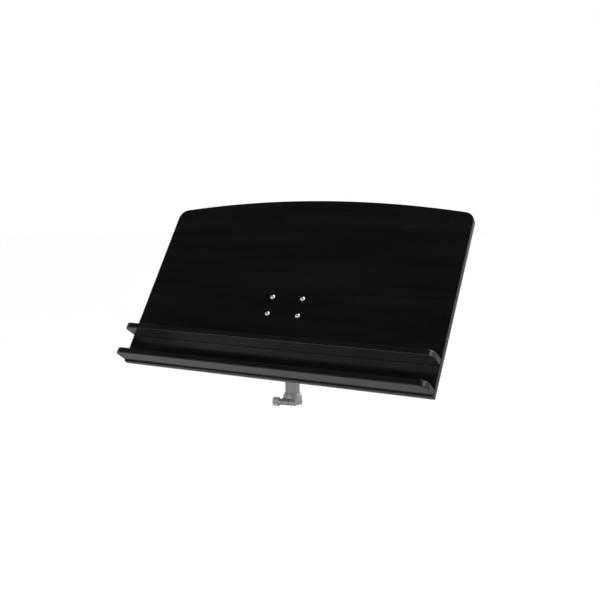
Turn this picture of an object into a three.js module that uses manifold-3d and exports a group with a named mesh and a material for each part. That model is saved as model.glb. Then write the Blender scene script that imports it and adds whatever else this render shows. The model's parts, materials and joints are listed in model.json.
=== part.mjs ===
// Desk and stem of an orchestra music stand: a wide lacquered board with two ledges, a friction tilt
// joint behind it, a tube that slides and turns in a pinch collar, and the collar itself, which sits
// on the end of the stand's column.
//
// Units are millimetres. +Z is up, +X runs along the desk, and the desk's front faces -Y.
// The origin is the centre of the collar's underside, on the axis of the stem.

import * as THREE from 'three';
import { mergeVertices } from 'three/addons/utils/BufferGeometryUtils.js';
import Module from 'manifold-3d';

const wasm = await Module();
wasm.setup();

// ---- Driving dimensions ----

const fitGap = 0.3; // between neighbouring pieces, on a radius or along an axis
const cutPast = 1; // how far a cutting tool runs past the face it opens

const boardWidth = 700;
const boardHeight = 409; // at the middle of the arched top edge
const boardThickness = 12;
const archRise = 28.5; // the arch's drop from the middle to the sides
const topCornerRadius = 22;
const woodEdge = 1; // chamfer on the edges of the board and the ledges
const boardTilt = 33.5; // degrees back from vertical

const ledgeDepth = 42;
const ledgeThickness = 12;
const ledgeInset = 1; // from the board's side, at each end
const ledgeCornerRadius = 16;
const lowerLedgeRise = 3; // from the board's bottom edge to the lower ledge's underside
const ledgePitch = 58;

const ledgeScrewCount = 5; // in each ledge
const ledgeScrewMargin = 49; // from the ledge's ends to the first and last screw
const ledgeScrewLength = 40;
const ledgeScrewRadius = 2.2;
const ledgeScrewHeadRadius = 4.4;

const pivotHeight = 185.5; // of the tilt axis above the collar's underside
const pivotToBoard = 24; // from the tilt axis to the board's back
const pivotToBottomEdge = 155.2; // along the board, from the tilt axis to its bottom edge

const panelBoltSpacingX = 70;
const panelBoltSpacingY = 38;
const panelBoltRadius = 3;
const panelBoltTail = 4.4; // past its nut
const panelBoltHeadRadius = 5.25;
const panelBoltHeadHeight = 3.3;
const panelBoltSocket = 4; // hexagon, across flats
const panelNutFlats = 10;
const panelNutFlangeRadius = 7.1;
const panelNutHeight = 6;

const bracketMarginX = 15; // from the bolts' centres to the bracket's edge
const bracketMarginY = 12;
const bracketCornerRadius = 8;
const bracketThickness = 3;
const earRadius = 12;
const earFootWidth = 40;

const eyeRadius = 15;
const eyeWidth = 24;
const frictionWasherThickness = 1.2;
const frictionWasherRadius = 13;

const tiltBoltRadius = 4;
const tiltBoltHeadFlats = 13;
const tiltBoltHeadHeight = 5.3;
const tiltWasherRadius = 8;
const tiltWasherThickness = 1.6;
const tiltKnobHubLength = 24; // carries the grip out past the panel nuts
const tiltKnobHubRadius = 8.5;
const tiltKnobGripRadius = 17;
const tiltKnobGripLength = 17;
const tiltInsertLength = 22;
const tiltInsertWall = 1.8;

const stemRadius = 15;
const stemWall = 1.5;
const stemTopDrop = 20; // from the tilt axis down to the top of the tube
const spigotLength = 38;
const headPinRadius = 2.5;
const plugHeight = 10;
const plugWall = 2;

const columnWall = 2.5; // of the stand's column, which the stem fills and which fills the collar's socket
const socketGap = 0.2;
const socketDepth = 11;
const sleeveWall = 1.2;
const sleeveHeight = 5.4;
const collarHeight = 23.5;
const collarWall = 3.1; // at its foot
const collarTaper = 1.9; // narrower at the shoulder than at the foot
const collarShoulderHeight = 17;
const collarLip = 1; // its wall at the very top
const clampTurn = 12; // degrees, seen from above, from the tilt axis to the clamp screw
const lugRadius = 6.2;
const lugHeight = 7; // of the clamp screw's axis
const plainLugLength = 18; // from the middle of the slit, on the knob's side
const threadedLugLength = 15;
const studCover = 1; // metal between the clamp screw's bore and the socket
const slitWidth = 1.5;

const studRadius = 3;
const studEndWall = 3; // left closed at the end of the threaded lug
const clampWasherRadius = 6.5;
const clampWasherThickness = 1.6;
const clampKnobRadius = 9.6;
const clampKnobLength = 13.6;
const clampInsertLength = 9;
const clampInsertWall = 1.6;
const clampKnobEndWall = 3.6;

const knobLobes = 5;
const lobeDepth = 0.22; // share of the knob's radius that the valleys between its lobes cut in
const knobEdge = 1.2;
const clampKnobTurn = 135; // degrees, where the first lobe points when the clamp is closed

// ---- Finishes ----

const lacquer = new THREE.MeshStandardMaterial({ color: 0x151515, roughness: 0.28, metalness: 0 });
const zinc = new THREE.MeshStandardMaterial({ color: 0xc9ccd0, roughness: 0.32, metalness: 1 });
const satinGrey = new THREE.MeshStandardMaterial({ color: 0xa6a6a6, roughness: 0.42, metalness: 0.8 });
const blackSteel = new THREE.MeshStandardMaterial({ color: 0x1c1c1d, roughness: 0.55, metalness: 0.3 });
const greyPlastic = new THREE.MeshStandardMaterial({ color: 0x989898, roughness: 0.5, metalness: 0 });
const blackPlastic = new THREE.MeshStandardMaterial({ color: 0x1a1a1a, roughness: 0.6, metalness: 0 });
const brass = new THREE.MeshStandardMaterial({ color: 0xb08d4a, roughness: 0.35, metalness: 1 });

// ---- Solids ----

const axisX = new THREE.Vector3(1, 0, 0);
const axisY = new THREE.Vector3(0, 1, 0);
const axisZ = new THREE.Vector3(0, 0, 1);

function radians(degrees) {
  return degrees * Math.PI / 180;
}

function solidFrom(geometry) {
  geometry.deleteAttribute('normal');
  geometry.deleteAttribute('uv');
  const merged = mergeVertices(geometry);
  const corners = merged.index.array;
  const triangles = [];
  for (let i = 0; i < corners.length; i += 3) {
    const [a, b, c] = corners.slice(i, i + 3);
    if (a !== b && b !== c && c !== a) {
      triangles.push(a, b, c);
    }
  }
  return new wasm.Manifold(new wasm.Mesh({
    numProp: 3,
    vertProperties: new Float32Array(merged.attributes.position.array),
    triVerts: new Uint32Array(triangles),
  }));
}

function geometryFrom(solid) {
  const mesh = solid.getMesh();
  const geometry = new THREE.BufferGeometry();
  geometry.setAttribute('position', new THREE.BufferAttribute(mesh.vertProperties, 3));
  geometry.setIndex(new THREE.BufferAttribute(mesh.triVerts, 1));
  return geometry;
}

function join(...pieces) {
  return geometryFrom(pieces.map(solidFrom).reduce((whole, piece) => whole.add(piece)));
}

function cut(body, ...tools) {
  return geometryFrom(tools.map(solidFrom).reduce((left, tool) => left.subtract(tool), solidFrom(body)));
}

// A solid of revolution about Z. The profile's [radius, z] points run up the outside, and the
// profile starts and ends on the axis or on the same point.
function turned(profile, segments) {
  const points = profile.map(([radius, z]) => new THREE.Vector2(radius, z));
  return new THREE.LatheGeometry(points, segments).rotateX(Math.PI / 2);
}

function rod(radius, from, to, segments) {
  return turned([[0, from], [radius, from], [radius, to], [0, to]], segments);
}

function ring(inner, outer, from, to, segments) {
  return turned([[inner, from], [outer, from], [outer, to], [inner, to], [inner, from]], segments);
}

function alongX(geometry) {
  return geometry.rotateY(Math.PI / 2);
}

function alongY(geometry) {
  return geometry.rotateX(-Math.PI / 2);
}

function arc(x, y, radius, from, to, steps) {
  return Array.from({ length: steps + 1 }, (_, i) => {
    const angle = from + (to - from) * i / steps;
    return new THREE.Vector2(x + radius * Math.cos(angle), y + radius * Math.sin(angle));
  });
}

// A plate of the given outline from z = 0 to its thickness, with both faces' edges chamfered.
function plate(outline, thickness, edge) {
  return new THREE.ExtrudeGeometry(new THREE.Shape(outline), {
    depth: thickness - 2 * edge,
    bevelEnabled: edge > 0,
    bevelThickness: edge,
    bevelSize: edge,
    bevelOffset: -edge,
    bevelSegments: 1,
  }).translate(0, 0, edge);
}

function hexagon(acrossFlats, from, to) {
  return rod(acrossFlats / Math.sqrt(3), from, to, 6);
}

function roundedRectangle(width, height, radius, steps) {
  const x = width / 2 - radius;
  const y = height / 2 - radius;
  const corners = [[x, y, 0], [-x, y, 0.5], [-x, -y, 1], [x, -y, 1.5]];
  return corners.flatMap(([cx, cy, turn]) =>
    arc(cx, cy, radius, turn * Math.PI, (turn + 0.5) * Math.PI, steps));
}

function lobedOutline(radius, firstLobe) {
  const steps = knobLobes * 9;
  return Array.from({ length: steps }, (_, i) => {
    const angle = 2 * Math.PI * i / steps;
    const valley = 0.5 - 0.5 * Math.cos(knobLobes * (angle - firstLobe));
    const reach = radius * (1 - lobeDepth * valley);
    return new THREE.Vector2(reach * Math.cos(angle), reach * Math.sin(angle));
  });
}

function place(group, name, geometry, material, x = 0, y = 0, z = 0) {
  const mesh = new THREE.Mesh(geometry, material);
  mesh.name = name;
  mesh.position.set(x, y, z);
  group.add(mesh);
  return mesh;
}

// ---- Desk: x runs along the board, y up its face, z out of its front, from the tilt axis ----

const boardBack = pivotToBoard;
const boardFront = boardBack + boardThickness;
const boardBottom = -pivotToBottomEdge;
const ledgeLength = boardWidth - 2 * ledgeInset;
const lowerLedgeUnderside = boardBottom + lowerLedgeRise;
const ledgeUndersides = [lowerLedgeUnderside, lowerLedgeUnderside + ledgePitch];
const ledgeScrewSpacing = (ledgeLength - 2 * ledgeScrewMargin) / (ledgeScrewCount - 1);
const bracketFront = boardBack - fitGap;
const bracketBack = bracketFront - bracketThickness;
const bracketWidth = panelBoltSpacingX + 2 * bracketMarginX;
const bracketHeight = panelBoltSpacingY + 2 * bracketMarginY;
const panelBoltLength = boardFront + fitGap - bracketBack + fitGap + panelNutHeight + panelBoltTail;

const ledgeScrewXs = Array.from(
  { length: ledgeScrewCount },
  (_, i) => (i - (ledgeScrewCount - 1) / 2) * ledgeScrewSpacing,
);
const ledgeScrewYs = ledgeUndersides.map((underside) => underside + ledgeThickness / 2);
const panelBoltPlaces = [-1, 1].flatMap((up) =>
  [-1, 1].map((side) => [side * panelBoltSpacingX / 2, up * panelBoltSpacingY / 2]));

function boardOutline() {
  const half = boardWidth / 2;
  const archRadius = (half * half + archRise * archRise) / (2 * archRise);
  const archCentre = boardBottom + boardHeight - archRadius;
  const cornerX = half - topCornerRadius;
  const cornerReach = archRadius - topCornerRadius;
  const cornerY = archCentre + Math.sqrt(cornerReach * cornerReach - cornerX * cornerX);
  const archStart = Math.atan2(cornerY - archCentre, cornerX);
  return [
    new THREE.Vector2(-half, boardBottom),
    new THREE.Vector2(half, boardBottom),
    ...arc(cornerX, cornerY, topCornerRadius, 0, archStart, 8),
    ...arc(0, archCentre, archRadius, archStart, Math.PI - archStart, 24).slice(1, -1),
    ...arc(-cornerX, cornerY, topCornerRadius, Math.PI - archStart, Math.PI, 8),
  ];
}

// The countersunk bore that a ledge screw leaves in the board, from the back face at z = 0.
function screwBore() {
  const head = ledgeScrewHeadRadius + fitGap;
  const shank = ledgeScrewRadius + fitGap;
  const coneEnd = head - shank + fitGap;
  return turned(
    [[0, -cutPast], [head, -cutPast], [head, fitGap], [shank, coneEnd],
      [shank, boardThickness + cutPast], [0, boardThickness + cutPast]],
    16,
  );
}

function deskPanel() {
  const board = plate(boardOutline(), boardThickness, woodEdge).translate(0, 0, boardBack);
  const screwBores = ledgeScrewYs.flatMap((y) =>
    ledgeScrewXs.map((x) => screwBore().translate(x, y, boardBack)));
  const boltBores = panelBoltPlaces.map(([x, y]) =>
    rod(panelBoltRadius + fitGap, boardBack - cutPast, boardFront + cutPast, 16).translate(x, y, 0));
  return cut(board, ...screwBores, ...boltBores);
}

// A ledge lies flat as it is cut: y from its back edge to its front one, z through its thickness.
function ledge() {
  const half = ledgeLength / 2;
  const cornerX = half - ledgeCornerRadius;
  const cornerY = ledgeDepth - ledgeCornerRadius;
  const outline = [
    new THREE.Vector2(-half, fitGap),
    new THREE.Vector2(half, fitGap),
    ...arc(cornerX, cornerY, ledgeCornerRadius, 0, Math.PI / 2, 8),
    ...arc(-cornerX, cornerY, ledgeCornerRadius, Math.PI / 2, Math.PI, 8),
  ];
  const pilotDepth = ledgeScrewLength - boardThickness + fitGap;
  const pilots = ledgeScrewXs.map((x) =>
    alongY(rod(ledgeScrewRadius + fitGap, -cutPast, pilotDepth, 12)).translate(x, 0, ledgeThickness / 2));
  return cut(plate(outline, ledgeThickness, woodEdge), ...pilots);
}

function ledgeScrew() {
  const coneEnd = ledgeScrewHeadRadius - ledgeScrewRadius + fitGap;
  const pointStart = ledgeScrewLength - 2 * ledgeScrewRadius;
  const body = turned(
    [[0, fitGap / 2], [ledgeScrewHeadRadius, fitGap / 2], [ledgeScrewHeadRadius, fitGap],
      [ledgeScrewRadius, coneEnd], [ledgeScrewRadius, pointStart],
      [ledgeScrewRadius / 4, ledgeScrewLength], [0, ledgeScrewLength]],
    16,
  );
  const driveDepth = coneEnd / 2;
  const driveRadius = ledgeScrewHeadRadius / 2;
  const drive = rod(driveRadius, -cutPast, driveDepth, 4);
  return cut(body, drive);
}

// The bolt hangs from its head: the head's underside is at z = 0.
function panelBolt() {
  const domeTop = panelBoltHeadRadius * 0.55;
  const body = turned(
    [[0, -panelBoltLength], [panelBoltRadius, -panelBoltLength], [panelBoltRadius, 0],
      [panelBoltHeadRadius, 0], [panelBoltHeadRadius, panelBoltHeadHeight * 0.25],
      [panelBoltHeadRadius * 0.85, panelBoltHeadHeight * 0.75], [domeTop, panelBoltHeadHeight],
      [0, panelBoltHeadHeight]],
    20,
  );
  const socket = hexagon(panelBoltSocket, panelBoltHeadHeight * 0.35, panelBoltHeadHeight + cutPast);
  return cut(body, socket);
}

// The nut's flange bears on the bracket at z = 0, and its hexagon stands behind it.
function panelNut() {
  const flangeThickness = panelNutHeight / 4;
  const flange = rod(panelNutFlangeRadius, -flangeThickness, 0, 20);
  const hex = hexagon(panelNutFlats, -panelNutHeight, -flangeThickness / 2);
  const bore = rod(panelBoltRadius + fitGap, -panelNutHeight - cutPast, cutPast, 16);
  return cut(join(flange, hex), bore);
}

const earInside = eyeWidth / 2 + frictionWasherThickness + 2 * fitGap;
const earOutside = earInside + bracketThickness;

// An ear's outline, with x up the board and y out of its back plate: a wide foot in the plate that
// runs tangentially into a round end on the tilt axis.
function earOutline() {
  const foot = earFootWidth / 2;
  const rootZ = bracketBack + bracketThickness / 2;
  const footAngle = Math.atan2(rootZ, foot);
  const tangent = footAngle - Math.acos(earRadius / Math.hypot(foot, rootZ));
  return [
    new THREE.Vector2(-foot, rootZ),
    ...arc(0, 0, earRadius, -Math.PI - tangent, tangent, 16),
    new THREE.Vector2(foot, rootZ),
  ];
}

function tiltBracket() {
  const outline = roundedRectangle(bracketWidth, bracketHeight, bracketCornerRadius, 5);
  const backPlate = plate(outline, bracketThickness, 0).translate(0, 0, bracketBack);
  const onSide = new THREE.Matrix4().makeBasis(axisY, axisZ, axisX);
  const ears = [-earOutside, earInside].map((x) =>
    plate(earOutline(), bracketThickness, 0).applyMatrix4(onSide).translate(x, 0, 0));
  const boltBores = panelBoltPlaces.map(([x, y]) =>
    rod(panelBoltRadius + fitGap, bracketBack - cutPast, bracketFront + cutPast, 16).translate(x, y, 0));
  const pivotReach = earOutside + cutPast;
  const pivotBore = alongX(rod(tiltBoltRadius + fitGap, -pivotReach, pivotReach, 20));
  return cut(join(backPlate, ...ears), ...boltBores, pivotBore);
}

const tiltWasherStart = earOutside + fitGap;
const tiltKnobStart = tiltWasherStart + tiltWasherThickness + fitGap;
const tiltKnobEnd = tiltKnobStart + tiltKnobHubLength + tiltKnobGripLength;
const tiltInsertEnd = tiltKnobStart + fitGap + tiltInsertLength;
const tiltBoltEnd = tiltInsertEnd;

function tiltBolt() {
  const headFace = -earOutside - fitGap;
  const head = hexagon(tiltBoltHeadFlats, headFace - tiltBoltHeadHeight, headFace);
  const shank = rod(tiltBoltRadius, headFace - fitGap, tiltBoltEnd, 20);
  return alongX(join(head, shank));
}

function tiltWasher() {
  const end = tiltWasherStart + tiltWasherThickness;
  return alongX(ring(tiltBoltRadius + fitGap, tiltWasherRadius, tiltWasherStart, end, 24));
}

const tiltInsertRadius = tiltBoltRadius + fitGap + tiltInsertWall;

function tiltKnob() {
  const gripStart = tiltKnobEnd - tiltKnobGripLength;
  const hub = rod(tiltKnobHubRadius, tiltKnobStart, gripStart + tiltKnobGripLength / 2, 28);
  const grip = plate(lobedOutline(tiltKnobGripRadius, 0), tiltKnobGripLength, knobEdge);
  const pocket = rod(tiltInsertRadius + fitGap, tiltKnobStart - cutPast, tiltInsertEnd + fitGap, 20);
  return alongX(cut(join(hub, grip.translate(0, 0, gripStart)), pocket));
}

function tiltKnobInsert() {
  const start = tiltKnobStart + fitGap;
  return alongX(ring(tiltBoltRadius + fitGap, tiltInsertRadius, start, tiltInsertEnd, 20));
}

function buildDesk() {
  const desk = new THREE.Group();
  desk.position.z = pivotHeight;
  desk.rotation.x = radians(90 - boardTilt);
  place(desk, 'desk_panel', deskPanel(), lacquer);
  ['lower', 'upper'].forEach((level, row) => {
    const top = ledgeUndersides[row] + ledgeThickness;
    const mesh = place(desk, `${level}_ledge`, ledge(), lacquer, 0, top, boardFront);
    mesh.rotation.x = Math.PI / 2;
    ledgeScrewXs.forEach((x, i) =>
      place(desk, `${level}_ledge_screw_${i + 1}`, ledgeScrew(), zinc, x, ledgeScrewYs[row], boardBack));
  });
  panelBoltPlaces.forEach(([x, y], i) => {
    place(desk, `panel_bolt_${i + 1}`, panelBolt(), zinc, x, y, boardFront + fitGap);
    place(desk, `panel_nut_${i + 1}`, panelNut(), zinc, x, y, bracketBack - fitGap);
  });
  place(desk, 'tilt_bracket', tiltBracket(), blackSteel);
  place(desk, 'tilt_bolt', tiltBolt(), zinc);
  place(desk, 'tilt_washer', tiltWasher(), zinc);
  place(desk, 'tilt_knob', tiltKnob(), blackPlastic);
  place(desk, 'tilt_knob_insert', tiltKnobInsert(), brass);
  return desk;
}

// ---- Stem: the eye on the tilt axis, the tube below it and what slides in the collar ----

const stemTop = pivotHeight - stemTopDrop;
const stemBottom = socketDepth + fitGap;
const stemInnerRadius = stemRadius - stemWall;
const spigotRadius = stemInnerRadius - fitGap;
const headPinHeight = stemTop - spigotLength / 2;
const headPinReach = stemRadius - fitGap;

function headPinBore() {
  return alongX(rod(headPinRadius + fitGap, -stemRadius - cutPast, stemRadius + cutPast, 16));
}

// The head hangs from the tilt axis at z = 0: an eye across X, a neck as wide as the tube, and a
// spigot that fits down inside it.
function tiltHead() {
  const halfEye = eyeWidth / 2;
  const neckTaper = stemRadius - halfEye;
  const neckBottom = fitGap - stemTopDrop;
  const eye = alongX(rod(eyeRadius, -halfEye, halfEye, 40));
  const neck = turned(
    [[0, -stemTopDrop - spigotLength], [spigotRadius, -stemTopDrop - spigotLength],
      [spigotRadius, neckBottom], [stemRadius, neckBottom], [stemRadius, neckBottom + 1],
      [halfEye, neckBottom + 1 + neckTaper], [halfEye, -stemTopDrop / 4], [0, -stemTopDrop / 4]],
    40,
  );
  const pivotBore = alongX(rod(tiltBoltRadius + fitGap, -halfEye - cutPast, halfEye + cutPast, 20));
  const pinBore = headPinBore().translate(0, 0, headPinHeight - pivotHeight);
  return cut(join(eye, neck), pivotBore, pinBore);
}

function frictionWasher() {
  const half = frictionWasherThickness / 2;
  return alongX(ring(tiltBoltRadius + fitGap, frictionWasherRadius, -half, half, 32));
}

function stemTube() {
  const tube = ring(stemInnerRadius, stemRadius, stemBottom, stemTop, 48);
  return cut(tube, headPinBore().translate(0, 0, headPinHeight));
}

function stemEndPlug() {
  const radius = stemInnerRadius - fitGap;
  const inner = radius - plugWall;
  return turned(
    [[0, 0], [radius, 0], [radius, plugHeight], [inner, plugHeight], [inner, plugWall], [0, plugWall]],
    40,
  );
}

const sleeveInnerRadius = stemRadius + fitGap;
const sleeveRadius = sleeveInnerRadius + sleeveWall;

function buildStem() {
  const stem = new THREE.Group();
  const washerX = eyeWidth / 2 + fitGap + frictionWasherThickness / 2;
  place(stem, 'tilt_head', tiltHead(), satinGrey, 0, 0, pivotHeight);
  place(stem, 'friction_washer_left', frictionWasher(), blackPlastic, -washerX, 0, pivotHeight);
  place(stem, 'friction_washer_right', frictionWasher(), blackPlastic, washerX, 0, pivotHeight);
  place(stem, 'stem_tube', stemTube(), satinGrey);
  place(stem, 'head_pin', alongX(rod(headPinRadius, -headPinReach, headPinReach, 16)), zinc,
    0, 0, headPinHeight);
  place(stem, 'stem_end_plug', stemEndPlug(), blackPlastic, 0, 0, stemBottom);
  return stem;
}

function guideSleeve() {
  return ring(sleeveInnerRadius, sleeveRadius, stemBottom, stemBottom + sleeveHeight, 48);
}

// ---- Clamp: the split collar on the column's end, its stud and its knob ----

const columnRadius = stemRadius + columnWall;
const socketRadius = columnRadius + socketGap;
const collarBaseRadius = socketRadius + collarWall;
const collarTopRadius = stemRadius + fitGap + collarLip;
const lugReach = socketRadius + studCover + studRadius + fitGap; // from the stem's axis to the stud's
const neckRadius = sleeveRadius + fitGap;
const neckTop = stemBottom + sleeveHeight + fitGap;
const washerFar = -plainLugLength - fitGap - clampWasherThickness;
const clampKnobStart = washerFar - 2 * fitGap;
const clampKnobEnd = clampKnobStart - clampKnobLength;
const clampInsertRadius = studRadius + fitGap + clampInsertWall;
const clampPocketEnd = clampKnobEnd + clampKnobEndWall;
const studTip = clampPocketEnd + fitGap;

function clampCollar() {
  const foot = 0.6;
  const shell = turned(
    [[socketRadius, 0], [collarBaseRadius - foot, 0], [collarBaseRadius, foot],
      [collarBaseRadius - collarTaper, collarShoulderHeight], [collarTopRadius, collarHeight],
      [stemRadius + fitGap, collarHeight], [stemRadius + fitGap, neckTop], [neckRadius, neckTop],
      [neckRadius, socketDepth], [socketRadius, socketDepth], [socketRadius, 0]],
    56,
  );
  const lugOutline = [
    ...arc(-lugReach, lugHeight, lugRadius, Math.PI / 2, 1.5 * Math.PI, 14),
    new THREE.Vector2(-socketRadius / 3, lugHeight - lugRadius),
    new THREE.Vector2(-socketRadius / 3, lugHeight + lugRadius),
  ];
  const onSide = new THREE.Matrix4().makeBasis(axisY, axisZ, axisX);
  const lugs = plate(lugOutline, plainLugLength + threadedLugLength, 0).applyMatrix4(onSide)
    .translate(-plainLugLength, 0, 0);
  const socket = rod(socketRadius, -cutPast, socketDepth, 56);
  const neck = rod(neckRadius, 0, neckTop, 56);
  const slitHeight = lugHeight + lugRadius + cutPast + cutPast;
  const slitDepth = lugReach + lugRadius + cutPast - socketRadius / 2;
  const slit = new THREE.BoxGeometry(slitWidth, slitDepth, slitHeight)
    .translate(0, -socketRadius / 2 - slitDepth / 2, slitHeight / 2 - cutPast);
  const boreEnd = threadedLugLength - studEndWall;
  const studBore = alongX(rod(studRadius + fitGap, -plainLugLength - cutPast, boreEnd, 16))
    .translate(0, -lugReach, lugHeight);
  return cut(join(shell, lugs), socket, neck, slit, studBore);
}

function clampStud() {
  return alongX(rod(studRadius, studTip, threadedLugLength - studEndWall - fitGap, 16));
}

function clampWasher() {
  const start = washerFar + clampWasherThickness;
  return alongX(ring(studRadius + fitGap, clampWasherRadius, washerFar, start, 20));
}

// The outline lies across X with its x towards +Y and its y towards +Z.
function clampKnob() {
  const onSide = new THREE.Matrix4().makeBasis(axisY, axisZ, axisX);
  const outline = lobedOutline(clampKnobRadius, radians(clampKnobTurn));
  const grip = plate(outline, clampKnobLength, knobEdge).applyMatrix4(onSide).translate(clampKnobEnd, 0, 0);
  const pocket = alongX(rod(clampInsertRadius + fitGap, clampPocketEnd, clampKnobStart + cutPast, 20));
  return cut(grip, pocket);
}

function clampKnobInsert() {
  const start = clampKnobStart - fitGap;
  return alongX(ring(studRadius + fitGap, clampInsertRadius, start - clampInsertLength, start, 20));
}

function buildClamp() {
  const clamp = new THREE.Group();
  place(clamp, 'clamp_collar', clampCollar(), satinGrey);
  place(clamp, 'guide_sleeve', guideSleeve(), blackPlastic);
  const screwAxis = [0, -lugReach, lugHeight];
  place(clamp, 'clamp_stud', clampStud(), zinc, ...screwAxis);
  place(clamp, 'clamp_washer', clampWasher(), zinc, ...screwAxis);
  place(clamp, 'clamp_knob', clampKnob(), greyPlastic, ...screwAxis);
  place(clamp, 'clamp_knob_insert', clampKnobInsert(), brass, ...screwAxis);
  clamp.rotation.z = radians(clampTurn);
  return clamp;
}

const group = new THREE.Group();
group.add(buildDesk(), buildStem(), buildClamp());

export default group;
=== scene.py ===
"""Finish of a wide orchestra music stand desk: lacquered plywood board and ledges, plated fasteners,
a powder-coated bracket, moulded knobs and a satin grey stem with its cast clamp."""

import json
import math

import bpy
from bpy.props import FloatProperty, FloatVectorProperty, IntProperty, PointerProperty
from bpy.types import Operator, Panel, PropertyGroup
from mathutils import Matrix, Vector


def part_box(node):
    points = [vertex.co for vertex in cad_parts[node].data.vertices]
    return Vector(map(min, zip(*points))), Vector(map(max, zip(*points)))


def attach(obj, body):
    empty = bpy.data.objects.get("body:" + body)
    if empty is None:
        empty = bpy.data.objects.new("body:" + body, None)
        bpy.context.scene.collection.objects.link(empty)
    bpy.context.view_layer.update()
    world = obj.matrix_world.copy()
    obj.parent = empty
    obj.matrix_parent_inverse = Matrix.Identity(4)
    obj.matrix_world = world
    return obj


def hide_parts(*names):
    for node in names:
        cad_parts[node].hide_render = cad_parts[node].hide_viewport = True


bl_info = {
    "name": "Music Stand Desk",
    "version": (1, 0, 0),
    "blender": (4, 5, 0),
    "location": "View3D > Sidebar > Music Stand",
    "description": "Builds the finished pieces of a music stand desk around its packed model",
    "category": "Object",
}

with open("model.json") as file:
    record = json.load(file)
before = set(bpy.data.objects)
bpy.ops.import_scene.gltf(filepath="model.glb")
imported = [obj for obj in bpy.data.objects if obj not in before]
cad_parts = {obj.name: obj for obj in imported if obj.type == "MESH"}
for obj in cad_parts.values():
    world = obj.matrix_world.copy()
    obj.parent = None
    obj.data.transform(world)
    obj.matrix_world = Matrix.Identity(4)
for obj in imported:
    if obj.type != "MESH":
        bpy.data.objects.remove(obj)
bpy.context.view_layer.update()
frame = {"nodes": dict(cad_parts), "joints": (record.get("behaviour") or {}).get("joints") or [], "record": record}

MM = 0.001
FIT_GAP = 0.3 * MM
# how far a cutting tool runs past the face that it cuts
OVERRUN = 1 * MM
BOLT_BORE = 3.3 * MM
PIVOT_BORE = 4.3 * MM
PIN_BORE = 2.7 * MM
PILOT_RADIUS = 1.9 * MM
COLLAR_TAPER = 1.9 * MM
COLLAR_SHOULDER = 17 * MM
CASTING_GRAIN = 0.4 * MM

JOINTS = {joint["name"]: joint for joint in frame["joints"]}
MOUNTS = {mount["name"]: mount for mount in frame["record"]["mounts"]}


# ---------------------------------------------------------------- places

def axes_place(origin, x_axis, y_axis, z_axis):
    """A place whose own axes run along the three given directions."""
    turn = Matrix((x_axis, y_axis, z_axis)).transposed()
    return Matrix.Translation(origin) @ turn.to_4x4()


ACROSS = Vector((1, 0, 0))
TILT_AXIS = Vector(JOINTS["desk_tilt"]["pos_m"])
BOARD_UP = Vector(MOUNTS["upper_ledge_top"]["axis"]).normalized()
BOARD_OUT = ACROSS.cross(BOARD_UP)

# x along the board, y up its face, z out of its front, from the tilt axis
DESK = axes_place(TILT_AXIS, ACROSS, BOARD_UP, BOARD_OUT)
# z along the tilt axis, x up the board
PIVOT = axes_place(TILT_AXIS, BOARD_UP, BOARD_OUT, ACROSS)
STEM = Matrix.Identity(4)
# z along the clamp's screw from the middle of its slit, x towards the stem, y up
UP = Vector((0, 0, 1))
SCREW_AXIS = Vector(JOINTS["clamp_knob_turn"]["axis"]).normalized()
SCREW_KNOB = Vector(JOINTS["clamp_knob_turn"]["pos_m"])
SCREW_MIDDLE = SCREW_KNOB - SCREW_AXIS * SCREW_KNOB.dot(SCREW_AXIS)
CLAMP = axes_place(SCREW_MIDDLE, UP.cross(SCREW_AXIS), UP, SCREW_AXIS)


def node_points(node, place):
    """The corners of a CAD node, in a place's own coordinates."""
    back = place.inverted()
    return [back @ vertex.co for vertex in frame["nodes"][node].data.vertices]


def span(node, place):
    """Lowest and highest corner of a CAD node, in a place's own coordinates."""
    points = node_points(node, place)
    low = Vector([min(point[i] for point in points) for i in range(3)])
    high = Vector([max(point[i] for point in points) for i in range(3)])
    return low, high


def radii(node, place):
    """Inner and outer radius of a CAD node about a place's z axis."""
    reaches = [point.xy.length for point in node_points(node, place)]
    return min(reaches), max(reaches)


def shifted(place, x=0.0, y=0.0, z=0.0):
    return place @ Matrix.Translation((x, y, z))


def centred(node, place):
    """The place moved in its own x and y to the middle of a CAD node."""
    low, high = span(node, place)
    return shifted(place, (low.x + high.x) / 2, (low.y + high.y) / 2)


def over(node):
    """The shift along the board from the tilt axis to the middle of a CAD node."""
    low, high = span(node, DESK)
    return Matrix.Translation(((low.x + high.x) / 2, (low.y + high.y) / 2, 0))


def crosswise(height):
    """A place on the stem's axis at the given height, with its own z across the desk."""
    return Matrix.Translation((0, 0, height)) @ Matrix.Rotation(math.radians(90), 4, "Y")


def pin_height():
    """Bottom and top of the head's pin, and the height of its middle."""
    low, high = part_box("head_pin")
    return low, high, (low.z + high.z) / 2


# ---------------------------------------------------------------- mesh work

def deselect():
    bpy.ops.object.select_all(action="DESELECT")


def only(piece):
    deselect()
    piece.select_set(True)
    bpy.context.view_layer.objects.active = piece


def edit(piece):
    only(piece)
    bpy.ops.object.mode_set(mode="EDIT")
    bpy.ops.mesh.select_all(action="SELECT")


def leave_edit():
    bpy.ops.object.mode_set(mode="OBJECT")


def apply_modifier(piece, kind, **settings):
    modifier = piece.modifiers.new(kind.lower(), kind)
    for name, value in settings.items():
        setattr(modifier, name, value)
    only(piece)
    bpy.ops.object.modifier_apply(modifier=modifier.name)


def new_loop(name, points):
    """A closed loop of edges through the given points, started from a circle of as many corners."""
    deselect()
    bpy.ops.mesh.primitive_circle_add(vertices=len(points), radius=1, fill_type="NOTHING")
    piece = bpy.context.active_object
    piece.name = name
    piece.data.name = name
    for vertex, point in zip(piece.data.vertices, points):
        vertex.co = point
    return piece


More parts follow.
